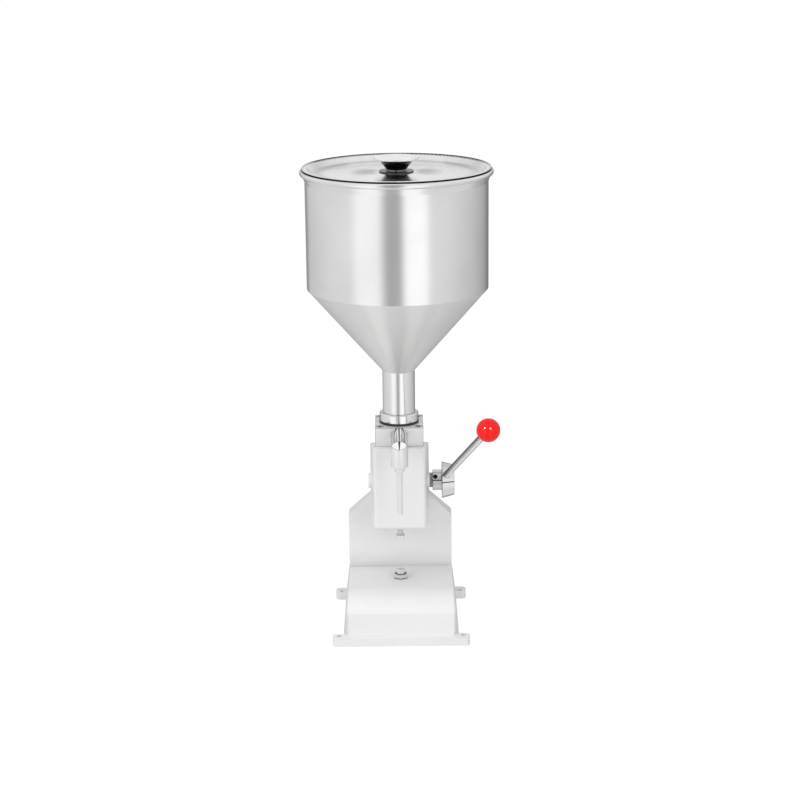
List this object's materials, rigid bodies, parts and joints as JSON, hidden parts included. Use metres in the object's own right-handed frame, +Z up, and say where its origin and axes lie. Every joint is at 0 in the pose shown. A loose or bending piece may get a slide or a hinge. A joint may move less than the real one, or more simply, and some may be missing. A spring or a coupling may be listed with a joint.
{
  "type": "donut filler machine",
  "caption": "Manual doughnut filling machine: steel hopper with lid, valve block and nozzle on a white cast stand, piston worked by a side lever with a red ball",
  "frame": {"origin": "point below the hopper and piston axis on the underside of the base", "axes": "+Z up along the hopper and piston axis, -Y towards the nozzle and the user, +X towards the lever"},
  "size_m": [0.2683, 0.3413, 0.6807],
  "materials": {
    "paint_white": "gloss white paint on castings",
    "steel_satin": "satin stainless sheet",
    "steel_block": "fine milled stainless",
    "steel_polished": "polished stainless",
    "steel_nozzle": "satin stainless tube",
    "steel_gear": "machined steel, lightly greased",
    "steel_screws": "plain steel screws",
    "black_oxide": "black oxide",
    "rubber_black": "matt black rubber",
    "bronze": "sintered bronze",
    "red_plastic": "gloss red phenolic"
  },
  "bodies": {
    "frame": {"base_casting": "paint_white", "head_casting": "paint_white", "frame_bolts": "steel_screws", "valve_block": "steel_block", "block_screws": "steel_screws", "cylinder_sleeve": "steel_block", "sleeve_seal": "rubber_black", "hopper_ring": "steel_polished", "hopper_seal": "rubber_black", "hopper": "steel_satin", "inlet_valve_seat": "steel_block", "valve_cage": "steel_block", "spout_elbow": "steel_polished", "spout_seal": "rubber_black", "outlet_spring": "steel_gear", "nozzle": "steel_nozzle", "shaft_bush_left": "steel_gear", "shaft_bush_right": "steel_gear", "rod_guide_bush": "bronze"},
    "lever": {"drive_shaft": "steel_polished", "pinion": "steel_gear", "pinion_pin": "steel_gear", "shaft_washer": "steel_screws", "lever_hub": "steel_polished", "hub_set_screw": "black_oxide", "lever_rod": "steel_polished", "ball_knob": "red_plastic"},
    "piston_rack": {"rack_rod": "steel_gear", "piston": "steel_block", "piston_o_rings": "rubber_black", "tail_screw": "steel_screws"},
    "volume_stop": {"volume_screw": "steel_polished"},
    "stop_nut": {"locknut": "steel_polished"},
    "inlet_valve_ball": {"inlet_ball": "steel_polished"},
    "outlet_valve_ball": {"outlet_ball": "steel_polished"},
    "lid": {"hopper_lid": "steel_satin", "lid_knob": "steel_polished", "knob_washer": "steel_screws", "knob_screw": "steel_screws"}
  },
  "joints": [
    {"name": "lever_turn", "type": "hinge", "parent": "frame", "child": "lever", "pos_m": [0, -0.0205, 0.2216], "axis": [1, 0, 0], "range_deg": [-118.06, 0]},
    {"name": "piston_slide", "type": "slide", "parent": "frame", "child": "piston_rack", "axis": [0, 0, 1], "range_m": [-0.034, 0]},
    {"name": "lid_lift", "type": "slide", "parent": "frame", "child": "lid", "axis": [0, 0, 1], "range_m": [0, 0.2]},
    {"name": "volume_turn", "type": "slide", "parent": "frame", "child": "volume_stop", "axis": [0, 0, 1], "range_m": [-0.006, 0.014]},
    {"name": "locknut_turn", "type": "hinge", "parent": "frame", "child": "stop_nut", "pos_m": [0, 0, 0.0704], "axis": [0, 0, 1], "continuous": true},
    {"name": "inlet_ball_lift", "type": "slide", "parent": "frame", "child": "inlet_valve_ball", "axis": [0, 0, 1], "range_m": [0, 0.0034]},
    {"name": "outlet_ball_drop", "type": "slide", "parent": "frame", "child": "outlet_valve_ball", "axis": [0, 0, -1], "range_m": [0, 0.0025], "stiffness_N_per_m": 300, "springref_m": -0.004, "deforming": ["outlet_spring"]}
  ],
  "couplings": [
    {"joint": "piston_slide", "follows": "lever_turn", "m_per_rad": 0.0165}
  ]
}
